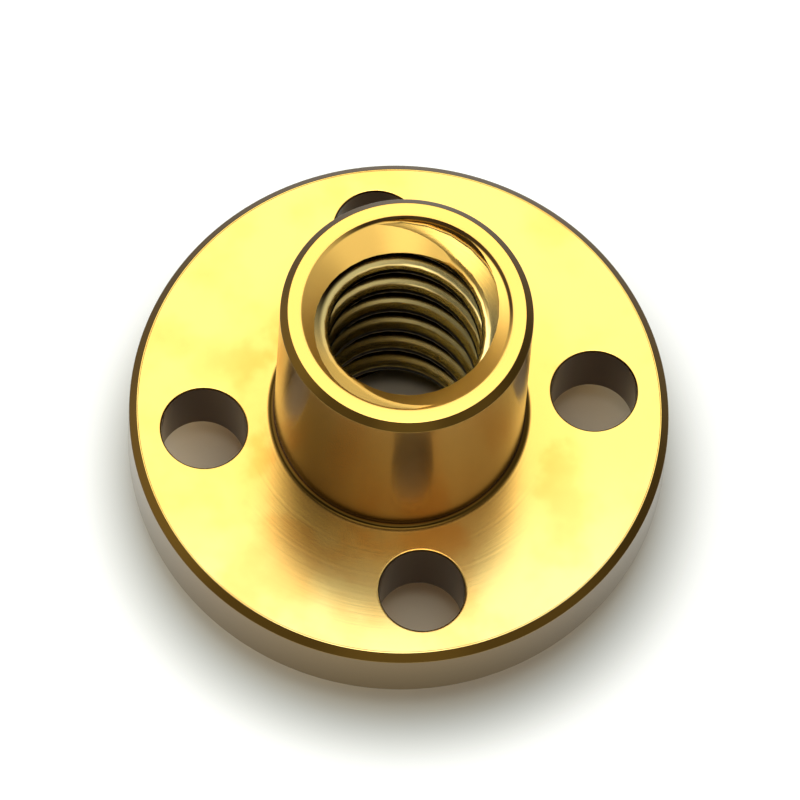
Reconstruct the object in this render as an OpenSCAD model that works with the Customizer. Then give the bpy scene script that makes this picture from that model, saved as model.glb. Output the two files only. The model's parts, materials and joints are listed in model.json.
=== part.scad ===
// Flanged lead screw nut for an 8 mm trapezoidal screw, turned in one piece from brass bar.
// The flange carries plain holes for the fixing screws, a barrel stands on one side of it and
// a short spigot on the other, and a multi-start trapezoidal thread runs right through.
// The Z axis is the axis of the thread, and Z = 0 is the end face of the spigot.

/* [Thread] */
// Nominal diameter of the screw that the nut runs on
screw_d = 8; // [6:0.5:11]
// Distance along the axis from one thread ridge to the next
pitch = 2; // [1.5:0.25:3]
// Number of separate threads, side by side
starts = 2; // [1:1:4]
// Angle of a thread flank to a plane square to the axis
flank_angle = 15; // [10:1:20]
// Room between the core of the screw and the crests of the nut's thread, on the diameter
crest_clearance = 0.2; // [0:0.05:0.5]
// Room between the outside of the screw and the root of the nut's thread, on the diameter
root_clearance = 0.3; // [0.2:0.05:0.8]
// Angle from the first fixing hole to the first groove, at the end face of the spigot
thread_turn = 174; // [0:2:358]
// How much wider the countersink at each end is than the root of the thread, on the radius
sink_margin = 0.1; // [0.05:0.05:0.15]

/* [Barrel] */
// Wall left outside the thread's root
barrel_wall = 0.95; // [0.6:0.05:2.2]
// Length of the barrel, from the flange to its mouth
barrel_l = 10; // [3:0.5:30]
// Width of the broken edge outside the mouth
mouth_edge = 0.3; // [0.1:0.05:0.4]

/* [Spigot] */
// Wall left outside the thread's root
spigot_wall = 0.95; // [0.6:0.05:2.2]
// Length of the spigot, from the flange to its end
spigot_l = 1.5; // [0.8:0.1:6]
// Width of the broken edge outside the end
spigot_edge = 0.3; // [0.1:0.05:0.4]

/* [Flange] */
// Outside diameter of the flange
flange_d = 22; // [18.5:0.5:40]
// Thickness of the flange
flange_t = 3.5; // [1.5:0.25:10]
// Width of the broken edge round each face of the flange
flange_edge = 0.3; // [0.1:0.05:0.6]
// Radius left by the tool's nose in the corners under the barrel and over the spigot
corner_r = 0.2; // [0.1:0.05:0.6]

/* [Fixing holes] */
// Number of fixing holes
hole_count = 4; // [2:1:6]
// Diameter of a fixing hole
hole_d = 3.5; // [2:0.1:5]

/* [Hidden] */
$fn = 96;

// The thread, on radii from the axis. Ridge and groove are equally wide at pitch_r.
lead = pitch * starts;
crest_r = (screw_d - pitch + crest_clearance) / 2;
pitch_r = (screw_d - pitch / 2) / 2;
root_r = (screw_d + root_clearance) / 2;
sink_r = root_r + sink_margin;

barrel_r = root_r + barrel_wall;
spigot_r = root_r + spigot_wall;
flange_r = flange_d / 2;
flange_z = spigot_l;
barrel_z = flange_z + flange_t;
total_l = barrel_z + barrel_l;

// The fixing holes stand in the middle of the flat ring round the barrel.
hole_circle_r = (barrel_r + corner_r + flange_r - flange_edge) / 2;

// A groove's section starts a little inside the bore, so that its flanks cross the crests cleanly.
groove_in_r = crest_r * 0.94;
groove_step_angle = 14;
slices_per_turn = 36;

// How far a cutting shape runs past the faces that it cuts
past = 1;

// The nut without its bore and holes, from the axis outwards, with its edges broken at 45 degrees
module turned_outline() {
    polygon([
        [0, 0],
        [spigot_r - spigot_edge, 0],
        [spigot_r, spigot_edge],
        [spigot_r, flange_z],
        [flange_r - flange_edge, flange_z],
        [flange_r, flange_z + flange_edge],
        [flange_r, barrel_z - flange_edge],
        [flange_r - flange_edge, barrel_z],
        [barrel_r, barrel_z],
        [barrel_r, total_l - mouth_edge],
        [barrel_r - mouth_edge, total_l],
        [0, total_l]
    ]);
    translate([barrel_r, barrel_z]) corner_fillet();
    translate([spigot_r, flange_z]) mirror([0, 1]) corner_fillet();
}

// What fills an inside corner whose sides run along +X and +Y, out to the tool's nose radius
module corner_fillet() {
    difference() {
        square(corner_r);
        translate([corner_r, corner_r]) circle(corner_r);
    }
}

// The bore over the thread's crests, with a 45 degree countersink at each end
module bore_outline() {
    sink_l = sink_r - crest_r;
    polygon([
        [0, -past],
        [sink_r + past, -past],
        [crest_r, sink_l],
        [crest_r, total_l - sink_l],
        [sink_r + past, total_l + past],
        [0, total_l + past]
    ]);
}

// Width of a groove along the axis, at a radius
function groove_w(r) = pitch / 2 - 2 * (r - pitch_r) * tan(flank_angle);

// Half of the angle that a groove takes up at a radius, in a cut square to the axis
function groove_half_angle(r) = groove_w(r) / 2 / lead * 360;

function polar(r, a) = [r * cos(a), r * sin(a)];

// One flank of the groove round angle a, from inside the bore out to the root
function flank_points(a, side) =
    let (swing = groove_half_angle(groove_in_r) - groove_half_angle(root_r))
    let (steps = ceil(swing / groove_step_angle))
    [
        for (i = [0:steps])
            let (r = groove_in_r + (root_r - groove_in_r) * i / steps)
            polar(r, a + side * groove_half_angle(r))
    ];

// The points between the ends of its two flanks, on the arc of the root
function root_points(a) =
    let (half = groove_half_angle(root_r))
    let (steps = ceil(2 * half / groove_step_angle))
    [for (i = [1:steps - 1]) polar(root_r, a + half * (2 * i / steps - 1))];

function reversed(list) = [for (i = [len(list) - 1:-1:0]) list[i]];

// Every groove in a cut square to the axis, joined by short lines inside the bore
module groove_section() {
    polygon([
        for (s = [0:starts - 1])
            let (a = thread_turn + s * 360 / starts)
            each concat(flank_points(a, -1), root_points(a), reversed(flank_points(a, 1)))
    ]);
}

// The grooves of a right-hand thread, from below the spigot to above the mouth
module thread_grooves() {
    cut_l = total_l + 2 * past;
    turns = cut_l / lead;
    rotate(-past / lead * 360)
        translate([0, 0, -past])
            linear_extrude(
                height = cut_l,
                twist = -360 * turns,
                slices = ceil(slices_per_turn * turns),
                $fn = 12
            )
                groove_section();
}

module fixing_holes() {
    for (i = [0:hole_count - 1])
        rotate(i * 360 / hole_count)
            translate([hole_circle_r, 0, flange_z - past])
                cylinder(d = hole_d, h = flange_t + 2 * past);
}

module flanged_nut() {
    color("gold")
        difference() {
            rotate_extrude() turned_outline();
            rotate_extrude() bore_outline();
            thread_grooves();
            fixing_holes();
        }
}

flanged_nut();
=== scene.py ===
"""The finish of a flanged lead screw nut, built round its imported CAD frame."""

import json

import bmesh
import bpy
import numpy as np
from mathutils import Matrix, Vector


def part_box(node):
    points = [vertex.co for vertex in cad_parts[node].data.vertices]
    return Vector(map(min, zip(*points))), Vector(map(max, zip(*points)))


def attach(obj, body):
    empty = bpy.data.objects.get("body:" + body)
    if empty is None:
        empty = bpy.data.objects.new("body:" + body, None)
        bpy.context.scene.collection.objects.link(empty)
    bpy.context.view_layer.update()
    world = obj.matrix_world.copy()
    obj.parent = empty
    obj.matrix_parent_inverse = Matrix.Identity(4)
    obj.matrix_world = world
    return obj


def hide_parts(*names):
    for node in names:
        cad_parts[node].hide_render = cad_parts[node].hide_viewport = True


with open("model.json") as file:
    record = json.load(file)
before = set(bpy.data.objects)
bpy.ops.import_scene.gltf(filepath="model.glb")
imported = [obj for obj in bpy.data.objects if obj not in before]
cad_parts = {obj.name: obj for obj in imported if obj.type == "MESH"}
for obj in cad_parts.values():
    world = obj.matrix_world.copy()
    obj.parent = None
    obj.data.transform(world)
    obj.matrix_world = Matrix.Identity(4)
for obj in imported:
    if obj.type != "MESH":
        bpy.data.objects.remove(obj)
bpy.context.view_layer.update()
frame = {"record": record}

# ---------------------------------------------------------------------------------------------
# The nut, turned in one piece from round brass bar: the flange, barrel and spigot are turned
# outside, the fixing holes are drilled through the flange, and the thread is tapped through the
# bore after both of its ends have been countersunk.

MM = 0.001  # sizes in this file are in millimetres, and meshes are in metres

mounts = {mount["name"]: mount for mount in frame["record"]["mounts"]}
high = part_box("flanged_nut")[1]
total_l = round(high.z / MM, 2)
flange_r = round(high.x / MM, 1)  # rounded, because the frame's circles are many-sided
flange_z = mounts["flange_spigot_side"]["pos_m"][2] / MM
barrel_z = mounts["flange_barrel_side"]["pos_m"][2] / MM
barrel_r = mounts["barrel"]["dims"]["r_mm"]
spigot_r = mounts["spigot"]["dims"]["r_mm"]
hole_count = mounts["fixing_holes"]["dims"]["count"]
hole_r = mounts["fixing_holes"]["dims"]["hole_r_mm"]
hole_circle_r = mounts["fixing_holes"]["dims"]["pcd_mm"] / 2
crest_r = mounts["screw_thread"]["dims"]["r_mm"]
sink_l = (total_l - mounts["screw_thread"]["dims"]["length_mm"]) / 2
sink_r = crest_r + sink_l  # the countersinks stand at 45 degrees

# The broken edges and the inside corners, and the small radius that handling leaves on an edge
mouth_edge = 0.3
spigot_edge = 0.3
flange_edge = 0.3
corner_r = 0.2
worn_r = 0.05
hole_worn_r = 0.07  # a drilled hole is deburred, so its edge is a little rounder

# The thread. Ridge and groove are equally wide at pitch_r, and the countersinks reach a little
# past the root. The crests are well rounded, by the tap and by wear.
pitch = 2.0
starts = 2
lead = pitch * starts
root_r = sink_r - 0.1
pitch_r = 3.5
flank_slope = np.tan(np.radians(15))
thread_turn = 174.0  # the angle of the first groove at the end of the spigot
crest_round = 0.44
root_round = 0.12

# How finely the surfaces are divided
around = 240
arc_steps = 4
side_steps = 16
turn_steps = 96
root_steps = 14
flank_steps = 16
land_steps = around // starts - root_steps
support = 0.04  # how far a flat stretch's shading is held from the roundings at its ends
same_point = 0.0005  # points nearer than this are one
sharp_angle = 35  # edges that bend by more degrees than this aren't shaded smooth


def rounded_outline(corners, radii, margin=support):
    """An outline through corners, each corner but the first and last rounded by its own radius.

    An arc of radius q touches both sides at q / tan(half the corner's inner angle) from the
    corner. A point a margin before each arc, and one after it, keeps the straight stretches flat.
    """
    corners = np.array(corners, float)
    points = [corners[0]]
    for before, corner, after, radius in zip(corners, corners[1:], corners[2:], radii):
        back = (before - corner) / np.linalg.norm(before - corner)
        ahead = (after - corner) / np.linalg.norm(after - corner)
        half = np.arccos(np.clip(back @ ahead, -1, 1)) / 2
        middle = (back + ahead) / np.linalg.norm(back + ahead)
        centre = corner + middle * radius / np.sin(half)
        first = corner + back * radius / np.tan(half) - centre
        last = corner + ahead * radius / np.tan(half) - centre
        swing = np.pi - 2 * half
        t = np.linspace(0, 1, arc_steps + 1)[:, None]
        arc = (np.sin((1 - t) * swing) * first + np.sin(t * swing) * last) / np.sin(swing)
        points += [centre + first + back * margin, *(centre + arc), centre + last + ahead * margin]
    points.append(corners[-1])
    return np.array(points)


def revolved(outline, turn):
    """An outline of (radius, height) points carried round the Z axis: r cos a, r sin a, height.

    turn holds the angles a in radians, one row for all the outline's points or one for each.
    """
    r, h = outline[:, 0, None], outline[:, 1, None]
    return np.stack(np.broadcast_arrays(r * np.cos(turn), r * np.sin(turn), h), axis=-1)


def grid_faces(rows, columns, closed):
    """Quads that join point (i, j) of a grid to (i, j + 1), (i + 1, j + 1) and (i + 1, j).

    On a closed grid the last column joins the first.
    """
    i, j = np.meshgrid(np.arange(rows - 1), np.arange(columns - (not closed)), indexing="ij")
    right = (j + 1) % columns
    this_row, next_row = i * columns, (i + 1) * columns
    corners = [this_row + j, this_row + right, next_row + right, next_row + j]
    return np.stack(corners, axis=-1).reshape(-1, 4)


def mesh_of_grids(name, grids):
    """One mesh of (points, closed) grids that meet along their edges, with its faces outwards."""
    points = np.concatenate([grid.reshape(-1, 3) for grid, _ in grids]) * MM
    counts = [grid.shape[0] * grid.shape[1] for grid, _ in grids]
    starts_at = np.cumsum([0] + counts[:-1])
    faces = np.concatenate(
        [grid_faces(*grid.shape[:2], closed) + at for (grid, closed), at in zip(grids, starts_at)]
    )
    mesh = bpy.data.meshes.new(name)
    mesh.from_pydata(points, [], faces)
    shell = bmesh.new()
    shell.from_mesh(mesh)
    bmesh.ops.remove_doubles(shell, verts=shell.verts, dist=same_point * MM)
    bmesh.ops.recalc_face_normals(shell, faces=shell.faces)
    shell.to_mesh(mesh)
    shell.free()
    mesh.shade_smooth()
    mesh.set_sharp_from_angle(angle=np.radians(sharp_angle))
    return mesh


def thread_angle(height, u):
    """Angle of the thread's point u at a height: a right-hand helix that rises one lead a turn.

    u is the distance along the axis from the middle of the first groove, before it is turned.
    """
    return np.radians(thread_turn + (height - u) * 360 / lead)


def on_helix(r, height, u):
    """Points at radius r and a height, on the helix of the thread's point u."""
    a = thread_angle(height, u)
    return np.stack(np.broadcast_arrays(r * np.cos(a), r * np.sin(a), height), axis=-1)


# One flank, from the root to the crest, as (u, radius) points: it stands flank_slope off square
# to the axis, and is as far from the groove's middle at pitch_r as from the ridge's middle.
root_u = pitch / 4 - (root_r - pitch_r) * flank_slope
crest_u = pitch / 4 + (pitch_r - crest_r) * flank_slope
flank_corners = [(0, root_r), (root_u, root_r), (crest_u, crest_r), (pitch / 2, crest_r)]
flank = rounded_outline(flank_corners, [root_round, crest_round], 0)[1:-1]
run = np.concatenate([[0], np.cumsum(np.hypot(*np.diff(flank, axis=0).T))])
cuts = np.unique(np.concatenate([run, np.linspace(0, run[-1], flank_steps + 1)]).round(6))
flank_u, flank_r = np.interp(cuts, run, flank[:, 0]), np.interp(cuts, run, flank[:, 1])

# The whole section of one start: root, flank, crest and the other flank
root_line = np.linspace(-flank_u[0], flank_u[0], root_steps + 1)
crest_line = np.linspace(flank_u[-1], pitch - flank_u[-1], land_steps + 1)
section_u = np.concatenate([root_line[:-1], flank_u[:-1], crest_line[:-1], pitch - flank_u[:0:-1]])
section_r = np.concatenate(
    [np.full(root_steps, root_r), flank_r[:-1], np.full(land_steps, crest_r), flank_r[:0:-1]]
)
section_u = (section_u + pitch * np.arange(starts)[:, None]).ravel()
section_r = np.tile(section_r, starts)


def sink_height(r, top):
    """Height of a countersink's cone at radius r, at the top or the bottom end of the bore."""
    depth = sink_r - r
    return total_l - depth if top else depth


# The threaded wall, from the lower cone to the upper one
along = np.linspace(0, 1, turn_steps + 1)[:, None]
lower, upper = sink_height(section_r, False), sink_height(section_r, True)
grids = [(on_helix(section_r, lower + (upper - lower) * along, section_u), True)]

# What is left of each cone between two grooves, from the crest's radius out to the root's
across = np.linspace(0, 1, land_steps + 1)
land_u = flank_u[:, None] + (pitch - 2 * flank_u[:, None]) * across
for top in (False, True):
    for k in range(starts):
        land = on_helix(flank_r[:, None], sink_height(flank_r[:, None], top), land_u + k * pitch)
        grids.append((land, False))

# The points of both cones on the root's circle, where the turned outline takes over
ring_u = np.concatenate([root_line[:-1], flank_u[0] + (pitch - 2 * flank_u[0]) * across[:-1]])
ring_u = (ring_u + pitch * np.arange(starts)[:, None]).ravel()


def ring_angles(top):
    """Angles of a cone's points on the root's circle, in rising order."""
    return np.sort(thread_angle(sink_height(root_r, top), ring_u) % (2 * np.pi))


# The turned outside in three stretches, which leave out the flange's two flat faces
even_angles = np.linspace(0, 2 * np.pi, around, endpoint=False)
face_in_r = barrel_r + corner_r + support
face_out_r = flange_r - flange_edge - support
spigot_side = rounded_outline(
    [
        (root_r, sink_height(root_r, False)),
        (sink_r, 0),
        (spigot_r - spigot_edge, 0),
        (spigot_r, spigot_edge),
        (spigot_r, flange_z),
        (face_in_r, flange_z),
    ],
    [worn_r, worn_r, worn_r, corner_r],
)
rim = rounded_outline(
    [
        (face_out_r, flange_z),
        (flange_r - flange_edge, flange_z),
        (flange_r, flange_z + flange_edge),
        (flange_r, barrel_z - flange_edge),
        (flange_r - flange_edge, barrel_z),
        (face_out_r, barrel_z),
    ],
    [worn_r, worn_r, worn_r, worn_r],
)
barrel_side = rounded_outline(
    [
        (face_in_r, barrel_z),
        (barrel_r, barrel_z),
        (barrel_r, total_l - mouth_edge),
        (barrel_r - mouth_edge, total_l),
        (sink_r, total_l),
        (root_r, sink_height(root_r, True)),
    ],
    [corner_r, worn_r, worn_r, worn_r],
)
for outline, row, top in ((spigot_side, 0, False), (rim, None, None), (barrel_side, -1, True)):
    turn = np.tile(even_angles, (len(outline), 1))
    if row is not None:
        turn[row] = ring_angles(top)
    grids.append((revolved(outline, turn), True))

# The flange's faces and holes. Each hole has a tile of both faces, one sector of the flat ring,
# and its points lie on lines that run from the hole's middle to the tile's edge.
sector = np.radians(np.linspace(-180, 180, around // hole_count + 1)) / hole_count
side = np.linspace(face_in_r, face_out_r, side_steps + 1)
inner_arc, outer_arc = np.full(sector.size - 1, face_in_r), np.full(sector.size - 1, face_out_r)
start_side, end_side = np.full(side_steps, sector[0]), np.full(side_steps, sector[-1])
edge_r = np.concatenate([inner_arc, side[:-1], outer_arc, side[:0:-1]])
edge_a = np.concatenate([sector[:-1], end_side, sector[:0:-1], start_side])
spokes = edge_r * np.exp(1j * edge_a) - hole_circle_r  # from the hole's middle to the tile's edge
spoke_l = np.abs(spokes)
hole_wall = rounded_outline(
    [
        (hole_r + hole_worn_r + support, barrel_z),
        (hole_r, barrel_z),
        (hole_r, flange_z),
        (hole_r + hole_worn_r + support, flange_z),
    ],
    [hole_worn_r, hole_worn_r],
)
face_steps = np.array([1, 0.97, 0.5, 0.1])[:, None]  # shares of the way from the hole to the edge
face_reach = hole_wall[0, 0] + (spoke_l - hole_wall[0, 0]) * face_steps
reach = np.concatenate([face_reach, hole_wall[:, :1] + 0 * spoke_l, face_reach[::-1]])
height = np.concatenate(
    [np.full(len(face_steps), barrel_z), hole_wall[:, 1], np.full(len(face_steps), flange_z)]
)
tile = hole_circle_r + spokes / spoke_l * reach
for k in range(hole_count):
    turned = tile * np.exp(2j * np.pi * k / hole_count)
    height_grid = np.broadcast_to(height[:, None], turned.shape)
    grids.append((np.stack([turned.real, turned.imag, height_grid], axis=-1), True))

nut = bpy.data.objects.new("nut_turned", mesh_of_grids("nut_turned", grids))
bpy.context.scene.collection.objects.link(nut)
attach(nut, "root")
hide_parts("flanged_nut")


def linear(hex_colour):
    """A colour written as sRGB hex, as the linear RGBA that sockets take."""
    srgb = np.array([int(hex_colour[i : i + 2], 16) for i in (1, 3, 5)]) / 255
    scaled = np.where(srgb <= 0.04045, srgb / 12.92, ((srgb + 0.055) / 1.055) ** 2.4)
    return (*scaled.tolist(), 1.0)


def add_node(tree, kind, inputs=None, **settings):
    """Adds a node, with its settings, and each input given as a value or as an output to link."""
    node = tree.nodes.new(kind)
    for name, value in settings.items():
        setattr(node, name, value)
    for key, value in (inputs or {}).items():
        if isinstance(value, bpy.types.NodeSocket):
            tree.links.new(value, node.inputs[key])
        else:
            node.inputs[key].default_value = value
    return node


def where(tree, *steps, within=1.0):
    """A mask: within, times a smoothstep for each (value, none, full), 0 at none and 1 at full."""
    mask = within
    for value, none, full in steps:
        inputs = {"Value": value, "From Min": none, "From Max": full}
        step = add_node(tree, "ShaderNodeMapRange", inputs, interpolation_type="SMOOTHSTEP")
        product = add_node(tree, "ShaderNodeMath", {0: step.outputs[0], 1: mask}, operation="MULTIPLY")
        mask = product.outputs[0]
    return mask


# Turned brass, free-cutting and unpolished: a bright yellow mirror, drawn out by the fine rings
# that the tool leaves on every face. It is dulled by a thin uneven tarnish, and the barrel's wall is
# browner. Painted shade darkens it round the barrel's foot, on the flange's side wall, in the broken
# edges, the holes, the grooves and on one side of the mouth's lip, and a painted highlight lightens the
# front.
# The second colour is a painted highlight, paler brass for the front of the nut
fresh, painted_front_highlight = linear("#FAD673"), linear("#FCE298")
# The second colour is painted shade, browner brass for the flange round the barrel's foot
tarnish, round_barrel_shade_brass, thread_crest = linear("#EFB455"), linear("#EFA43C"), linear("#FFE89A")
# The first colour is the barrel's tarnish; the second is painted shade for the flange's side wall
barrel_tarnish, rim_painted_shade = linear("#906D2D"), linear("#7A602F")
# Both colours here are painted shade, for the holes and for the grooves
hole_painted_shade, groove_painted_shade = linear("#40290F"), linear("#2A1E0E")
# Both colours here are painted shade, for one side of the mouth's lip and for the broken edges and the
# barrel's foot
lip_painted_shade, edge_painted_shade = linear("#3A2A14"), linear("#4A3612")
ring_spacing = 0.125  # the lathe's feed for each turn
ring_depth = 0.002
patch_size = 3.57  # the tarnish's patches


def turned_brass():
    """Brass whose tarnish is placed by radius and height, and by how upright the surface's normal is.

    Masks are products of smoothsteps, and the colour is layered through them from fresh brass
    through tarnish to painted shade, with a painted highlight at the front.
    """
    material = bpy.data.materials.new("turned_brass")
    material.use_nodes = True
    tree = material.node_tree
    tree.nodes.clear()

    # Where a point lies, in millimetres, and how upright its normal is: 0 on a wall, 1 on a face
    place = add_node(tree, "ShaderNodeTexCoord").outputs["Object"]
    scaled = add_node(tree, "ShaderNodeVectorMath", {0: place, "Scale": 1 / MM}, operation="SCALE")
    in_mm = scaled.outputs[0]
    level = add_node(tree, "ShaderNodeVectorMath", {0: in_mm, 1: (1, 1, 0)}, operation="MULTIPLY")
    flat = level.outputs[0]
    radius = add_node(tree, "ShaderNodeVectorMath", {0: flat}, operation="LENGTH").outputs["Value"]
    axes = add_node(tree, "ShaderNodeSeparateXYZ", {0: in_mm}).outputs
    height = axes["Z"]
    normal = add_node(tree, "ShaderNodeNewGeometry").outputs["Normal"]
    rise = add_node(tree, "ShaderNodeSeparateXYZ", {0: normal}).outputs["Z"]
    upright = add_node(tree, "ShaderNodeMath", {0: rise}, operation="ABSOLUTE").outputs[0]

    # The nut's regions. Beyond the mouth's cone, radius less height is more than cone_at.
    wall = where(tree, (upright, 0.4, 0.1))
    outside = where(tree, (radius, sink_r + 0.1, sink_r + 0.2))
    inside = where(tree, (radius, sink_r + 0.2, sink_r + 0.1))
    reach = add_node(tree, "ShaderNodeMath", {0: radius, 1: height}, operation="SUBTRACT").outputs[0]
    cone_at = sink_r - total_l
    threaded = where(tree, (reach, cone_at + 0.06, cone_at + 0.12), within=inside)
    crests = where(tree, (height, total_l - 1.1, total_l - 1.7), within=threaded)
    # Painted shade goes on the groove walls and on the flanks deep in the grooves
    groove_walls = where(tree, (upright, 0.4, 0.1), within=threaded)
    deep_flanks = where(
        tree,
        (radius, crest_r + 0.26, crest_r + 0.44),
        (height, total_l - 1.2, total_l - 1.8),
        within=threaded,
    )
    barrel_wall = where(tree, (radius, barrel_r + 0.4, barrel_r + 0.2), (upright, 0.4, 0.1), within=outside)
    # Painted shade goes on the flange's side wall
    rim_wall = where(tree, (radius, flange_r - 0.5, flange_r - 0.2), within=wall)
    # Painted shade goes on the hole walls
    hole_walls = where(
        tree,
        (radius, barrel_r + 0.5, barrel_r + 0.8),
        (radius, flange_r - 0.4, flange_r - 0.8),
        within=wall,
    )
    # Painted shade goes on the broken edges and in the crease at the barrel's foot
    broken_edges = where(tree, (upright, 0.15, 0.4), (upright, 0.99, 0.9), within=outside)
    foot = where(
        tree,
        (radius, barrel_r - 0.32, barrel_r - 0.2),
        (radius, barrel_r + 0.32, barrel_r + 0.2),
        (height, barrel_z - 0.32, barrel_z - 0.2),
        (height, barrel_z + 0.32, barrel_z + 0.2),
    )

    # Painted shade on the lip where the grooves run out of the mouth, darker to one side
    side = add_node(tree, "ShaderNodeVectorMath", {0: flat, 1: (0.6, 0.8, 0)}, operation="DOT_PRODUCT")
    lip = where(
        tree,
        (radius, sink_r - 0.16, sink_r - 0.1),
        (radius, sink_r + 0.03, sink_r - 0.02),
        (side.outputs["Value"], 0.0, 2.5),
        (height, total_l - 0.4, total_l - 0.3),
    )

    # Uneven tarnish over the flange, and a browner patch of painted shade round the barrel's foot
    patch_inputs = {"Vector": in_mm, "Scale": 1 / patch_size, "Detail": 4.0}
    noise = add_node(tree, "ShaderNodeTexNoise", patch_inputs).outputs["Fac"]
    patches = where(tree, (noise, 0.42, 0.68), (radius, barrel_r, barrel_r + 0.5))
    uneven = add_node(
        tree,
        "ShaderNodeMapRange",
        {"Value": patches, "From Min": 0.2, "From Max": 0.8, "To Min": 0.5},
        interpolation_type="SMOOTHSTEP",
    ).outputs["Result"]
    painted_shade_round_barrel = where(tree, (radius, barrel_r + 3.3, barrel_r + 0.5), within=uneven)
    # Painted highlight: the flange is paler toward the front
    front = where(tree, (axes["Y"], -2.0, -9.0))

    colour = fresh
    for mask, share, tint in (
        # painted highlight at the front
        (front, 0.6, painted_front_highlight),
        (patches, 0.55, tarnish),
        # painted shade round the barrel's foot
        (painted_shade_round_barrel, 0.6, round_barrel_shade_brass),
        (crests, 1.0, thread_crest),
        (barrel_wall, 1.0, barrel_tarnish),
        # painted shade on the flange's side wall
        (rim_wall, 1.0, rim_painted_shade),
        # painted shade in the holes
        (hole_walls, 1.0, hole_painted_shade),
        # painted shade in the grooves and on the deep flanks
        (groove_walls, 1.0, groove_painted_shade),
        (deep_flanks, 1.0, groove_painted_shade),
        # painted shade on one side of the mouth's lip
        (lip, 1.0, lip_painted_shade),
        # painted shade on the broken edges and at the barrel's foot
        (broken_edges, 1.0, edge_painted_shade),
        (foot, 1.0, edge_painted_shade),
    ):
        amount = add_node(tree, "ShaderNodeMath", {0: mask, 1: share}, operation="MULTIPLY").outputs[0]
        inputs = {0: amount, 6: colour, 7: tint}
        colour = add_node(tree, "ShaderNodeMix", inputs, data_type="RGBA").outputs[2]

    # A lathe's finish is near 0.2. The rim and the holes are smoother, and the bore is rougher.
    roughness = 0.18
    for mask, change in ((wall, -0.07), (inside, 0.12), (threaded, -0.06), (barrel_wall, 0.08)):
        inputs = {0: mask, 1: change, 2: roughness}
        roughness = add_node(tree, "ShaderNodeMath", inputs, operation="MULTIPLY_ADD").outputs[0]
    drawn_out = add_node(tree, "ShaderNodeMath", {0: outside, 1: 0.6}, operation="MULTIPLY").outputs[0]
    around_axis = add_node(tree, "ShaderNodeTangent", direction_type="RADIAL", axis="Z")

    # The tool's rings, at even steps of radius plus height, so they run on round an edge
    travel = add_node(tree, "ShaderNodeMath", {0: radius, 1: height}, operation="ADD").outputs[0]
    ring_inputs = {"W": travel, "Scale": 1 / ring_spacing, "Detail": 3.0}
    rings = add_node(tree, "ShaderNodeTexNoise", ring_inputs, noise_dimensions="1D").outputs["Fac"]
    bump_inputs = {"Strength": 0.5, "Distance": ring_depth * MM, "Height": rings}
    bump = add_node(tree, "ShaderNodeBump", bump_inputs)
    shader = add_node(
        tree,
        "ShaderNodeBsdfPrincipled",
        {
            "Base Color": colour,
            "Metallic": 1.0,
            "Roughness": roughness,
            "Anisotropic": drawn_out,
            "Anisotropic Rotation": 0.25,
            "Tangent": around_axis.outputs["Tangent"],
            "Normal": bump.outputs["Normal"],
        },
    )
    add_node(tree, "ShaderNodeOutputMaterial", {"Surface": shader.outputs[0]})
    return material


nut.data.materials.append(turned_brass())

# ---------------------------------------------------------------------------------------------
# The floor, a wide sheet of matt white paper that the nut stands on. It isn't part of the nut, and
# is laid flat, in rings that are closest together under the nut.

floor_rings = np.array([0, 6, 12, 30, 100, 600], float)
floor_outline = np.stack([floor_rings, 0 * floor_rings], axis=-1)
floor_mesh = mesh_of_grids("paper_floor", [(revolved(floor_outline, even_angles[None, :]), True)])
floor = bpy.data.objects.new("paper_floor", floor_mesh)
bpy.context.scene.collection.objects.link(floor)


# White paper, matt and uncoated: it scatters light evenly and has no gloss. Under the nut it is
# painted warmer and brighter, as painted bounce light from the brass.
paper_painted_bounce, paper_open = linear("#CFC2A9"), linear("#C8CBC2")
lift_strength = 0.62
# The lift's middle lies to the front, so the painted shadow round the nut reaches further there
lift_shift = 0.8  # how far the lift's middle lies to the front, in millimetres


def white_paper():
    """Paper that is lifted to white, from the flange outwards, for the camera and for reflections."""
    material = bpy.data.materials.new("white_paper")
    material.use_nodes = True
    tree = material.node_tree
    tree.nodes.clear()
    place = add_node(tree, "ShaderNodeTexCoord").outputs["Object"]
    shift_inputs = {0: place, 1: (1, 1, 0), 2: (0, lift_shift * MM, 0)}
    shifted = add_node(tree, "ShaderNodeVectorMath", shift_inputs, operation="MULTIPLY_ADD")
    length = add_node(tree, "ShaderNodeVectorMath", {0: shifted.outputs[0]}, operation="LENGTH")
    radius = length.outputs["Value"]
    path = add_node(tree, "ShaderNodeLightPath").outputs
    seen = path["Is Camera Ray"]
    for ray in ("Is Glossy Ray", "Is Transmission Ray"):
        inputs = {0: seen, 1: path[ray]}
        seen = add_node(tree, "ShaderNodeMath", inputs, operation="ADD", use_clamp=True).outputs[0]
    # Painted shadow: the lift is held back round the nut, so the paper near it stays darker
    clear = where(tree, (radius, (flange_r - 1.0) * MM, (flange_r + 2.8) * MM), within=seen)
    lift = add_node(tree, "ShaderNodeMath", {0: clear, 1: lift_strength}, operation="MULTIPLY")
    # Painted bounce light: the paper under the nut is warmer and brighter
    open_floor = where(tree, (radius, (flange_r - 2.5) * MM, (flange_r + 0.5) * MM))
    colour_inputs = {0: open_floor, 6: paper_painted_bounce, 7: paper_open}
    colour = add_node(tree, "ShaderNodeMix", colour_inputs, data_type="RGBA")
    shader = add_node(
        tree,
        "ShaderNodeBsdfPrincipled",
        {
            "Base Color": colour.outputs[2],
            "Roughness": 0.9,
            "Specular IOR Level": 0.0,
            "Emission Color": linear("#FFFFFF"),
            "Emission Strength": lift.outputs[0],
        },
    )
    add_node(tree, "ShaderNodeOutputMaterial", {"Surface": shader.outputs[0]})
    return material


floor.data.materials.append(white_paper())

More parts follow.
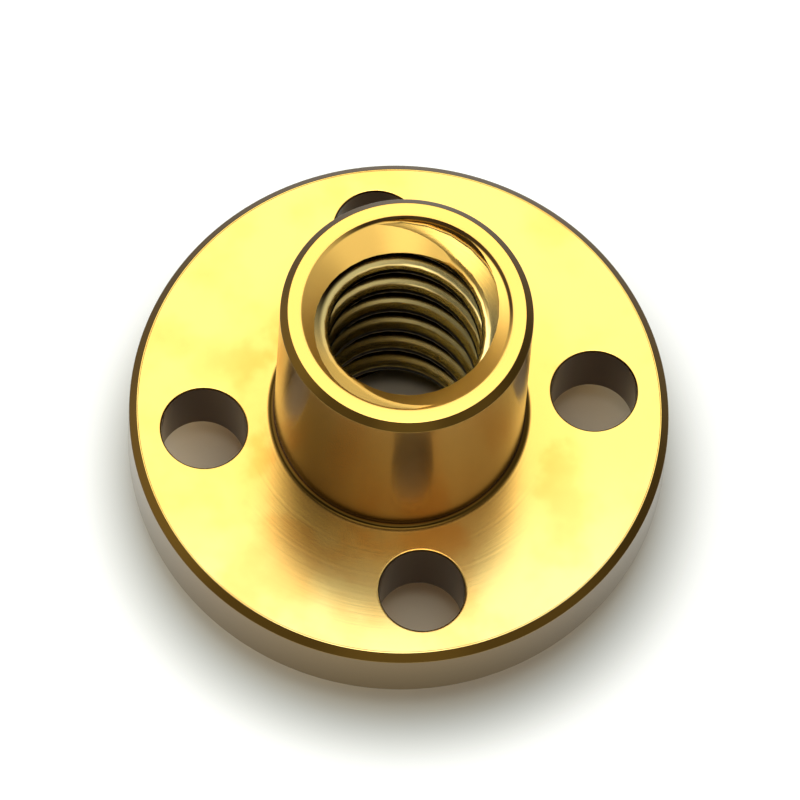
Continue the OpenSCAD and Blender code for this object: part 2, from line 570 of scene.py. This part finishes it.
# ---------------------------------------------------------------------------------------------
# The studio, a white tent of cloth round the nut. It is bright low down, at one side, behind the
# nut and straight overhead, and dark above the front, where it is open.

tent_low, tent_high = 1.15, 0.12  # the tent's level near the horizon and overhead
rise_low, rise_high = 0.35, 0.68  # the heights of a direction between which one becomes the other
zones = (
    # azimuth, elevation, half-angle to its full level, half-angle to its end, level
    (95, 60, 15, 45, 0.55),
    (100, 8, 20, 50, 0.6),
    (-110, 12, 20, 50, 2.2),
    (-4, 22, 10, 25, 1.6),
    (176, 64, 12, 27, 1.75),
    (0, 88, 5, 17, 4.2),
)


def direction(azimuth, elevation):
    a, e = np.radians([azimuth, elevation])
    return Vector((np.sin(a) * np.cos(e), -np.cos(a) * np.cos(e), np.sin(e)))


def white_tent():
    """The world's light by direction: each zone fades out from its middle between two angles."""
    world = bpy.data.worlds.new("white_tent")
    world.use_nodes = True
    tree = world.node_tree
    tree.nodes.clear()
    place = add_node(tree, "ShaderNodeTexCoord").outputs["Generated"]
    look = add_node(tree, "ShaderNodeVectorMath", {0: place}, operation="NORMALIZE").outputs[0]
    rise = add_node(tree, "ShaderNodeSeparateXYZ", {0: look}).outputs["Z"]
    overhead = where(tree, (rise, rise_low, rise_high))
    inputs = {"Factor": overhead, "A": tent_low, "B": tent_high}
    level = add_node(tree, "ShaderNodeMix", inputs, data_type="FLOAT").outputs["Result"]
    for azimuth, elevation, full, gone, strength in zones:
        inputs = {0: look, 1: direction(azimuth, elevation)}
        facing = add_node(tree, "ShaderNodeVectorMath", inputs, operation="DOT_PRODUCT").outputs["Value"]
        share = where(tree, (facing, np.cos(np.radians(gone)), np.cos(np.radians(full))))
        inputs = {"Factor": share, "A": level, "B": strength}
        level = add_node(tree, "ShaderNodeMix", inputs, data_type="FLOAT").outputs["Result"]
    light = add_node(tree, "ShaderNodeBackground", {"Color": linear("#FFFFFF"), "Strength": level})
    add_node(tree, "ShaderNodeOutputWorld", {"Surface": light.outputs[0]})
    return world


scene = bpy.context.scene
scene.world = white_tent()
scene.view_settings.view_transform = "Standard"

# ---------------------------------------------------------------------------------------------
# The camera, a long lens that looks steeply down on the nut from the front. It leans a little to
# one side.

camera_distance = 0.600  # metres
camera_data = bpy.data.cameras.new("camera")
camera_data.lens = 664.0
camera_data.sensor_width = 36.0
camera = bpy.data.objects.new("camera", camera_data)
scene.collection.objects.link(camera)
aim = Vector((0.0, 0.0, 0.4 * total_l * MM))
back = direction(-11.0, 67.0)
lean = Matrix.Rotation(np.radians(4.7), 4, "Z")
turned_to_aim = (-back).to_track_quat("-Z", "Y").to_matrix().to_4x4()
camera.matrix_world = Matrix.Translation(aim + back * camera_distance) @ turned_to_aim @ lean
scene.camera = camera
